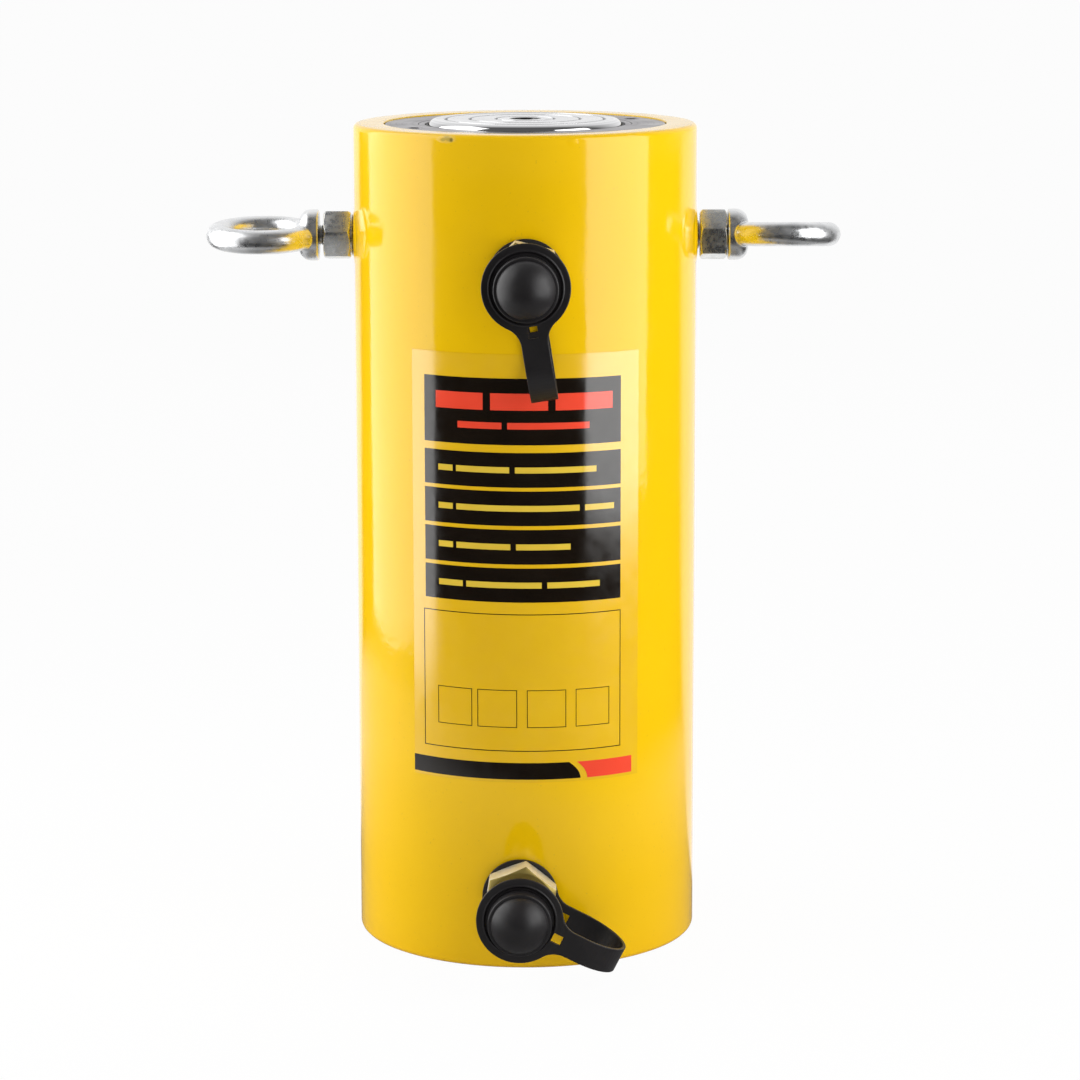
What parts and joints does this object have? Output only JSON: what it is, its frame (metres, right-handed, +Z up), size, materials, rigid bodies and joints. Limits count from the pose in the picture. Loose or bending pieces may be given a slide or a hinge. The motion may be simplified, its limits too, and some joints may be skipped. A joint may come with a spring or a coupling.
{
  "type": "double-acting hydraulic cylinder",
  "caption": "Upright double-acting hydraulic cylinder: thick round barrel, grooved saddle on a sliding plunger, capped hose couplers and lifting eye bolts.",
  "frame": {"origin": "centre of the flat base face, on the cylinder's axis", "axes": "+Z up along the cylinder's axis, the way the plunger extends; -Y towards the front, where both hose couplers and the label are; +X to the right of someone who faces the front"},
  "size_m": [0.3451, 0.2536, 0.45],
  "materials": {
    "yellow_paint": "glossy yellow enamel",
    "dark_steel": "dark machined steel, lightly oiled",
    "chrome": "hard chrome, ground and polished",
    "ground_steel": "satin turned steel",
    "bright_zinc": "bright zinc plate",
    "yellow_zinc": "yellow zinc plate",
    "olive_zinc": "olive zinc plate with a coarse thread",
    "rubber": "black moulded rubber, satin",
    "polyurethane": "moulded polyurethane seal",
    "bronze_ptfe": "filled PTFE ring"
  },
  "bodies": {
    "cylinder_body": {"barrel": "yellow_paint", "gland": "dark_steel", "gland_o_ring": "rubber", "gland_backup_ring": "bronze_ptfe", "rod_guide_ring_lower": "bronze_ptfe", "rod_guide_ring_upper": "bronze_ptfe", "rod_seal": "polyurethane", "rod_wiper": "rubber", "left_eye_bolt": "bright_zinc", "right_eye_bolt": "bright_zinc", "left_eye_nut": "bright_zinc", "right_eye_nut": "bright_zinc", "lower_coupler_adapter": "yellow_zinc", "upper_coupler_adapter": "yellow_zinc", "lower_coupler_body": "olive_zinc", "upper_coupler_body": "olive_zinc", "lower_coupler_spring": "bright_zinc", "upper_coupler_spring": "bright_zinc", "lower_coupler_seal": "rubber", "upper_coupler_seal": "rubber", "lower_cap_strap": "rubber", "upper_cap_strap": "rubber"},
    "plunger": {"piston_rod": "chrome", "piston": "ground_steel", "piston_seal": "polyurethane", "piston_seal_o_ring": "rubber", "piston_guide_ring_lower": "bronze_ptfe", "piston_guide_ring_upper": "bronze_ptfe", "piston_o_ring": "rubber", "piston_nut": "dark_steel", "saddle": "ground_steel", "saddle_screw": "dark_steel"},
    "lower_cap": {"lower_dust_cap": "rubber"},
    "upper_cap": {"upper_dust_cap": "rubber"},
    "lower_check_ball": {"lower_coupler_ball": "chrome"},
    "upper_check_ball": {"upper_coupler_ball": "chrome"}
  },
  "joints": [
    {"name": "plunger_slide", "type": "slide", "parent": "cylinder_body", "child": "plunger", "axis": [0, 0, 1], "range_m": [0, 0.3]},
    {"name": "lower_cap_pull", "type": "slide", "parent": "cylinder_body", "child": "lower_cap", "axis": [0, -1, 0], "range_m": [0, 0.03], "deforming": ["lower_cap_strap"]},
    {"name": "upper_cap_pull", "type": "slide", "parent": "cylinder_body", "child": "upper_cap", "axis": [0, -1, 0], "range_m": [0, 0.03], "deforming": ["upper_cap_strap"]},
    {"name": "lower_ball_lift", "type": "slide", "parent": "cylinder_body", "child": "lower_check_ball", "axis": [0, 1, 0], "range_m": [0, 0.003], "stiffness_N_per_m": 800, "springref_m": -0.004, "deforming": ["lower_coupler_spring"]},
    {"name": "upper_ball_lift", "type": "slide", "parent": "cylinder_body", "child": "upper_check_ball", "axis": [0, 1, 0], "range_m": [0, 0.003], "stiffness_N_per_m": 800, "springref_m": -0.004, "deforming": ["upper_coupler_spring"]}
  ]
}
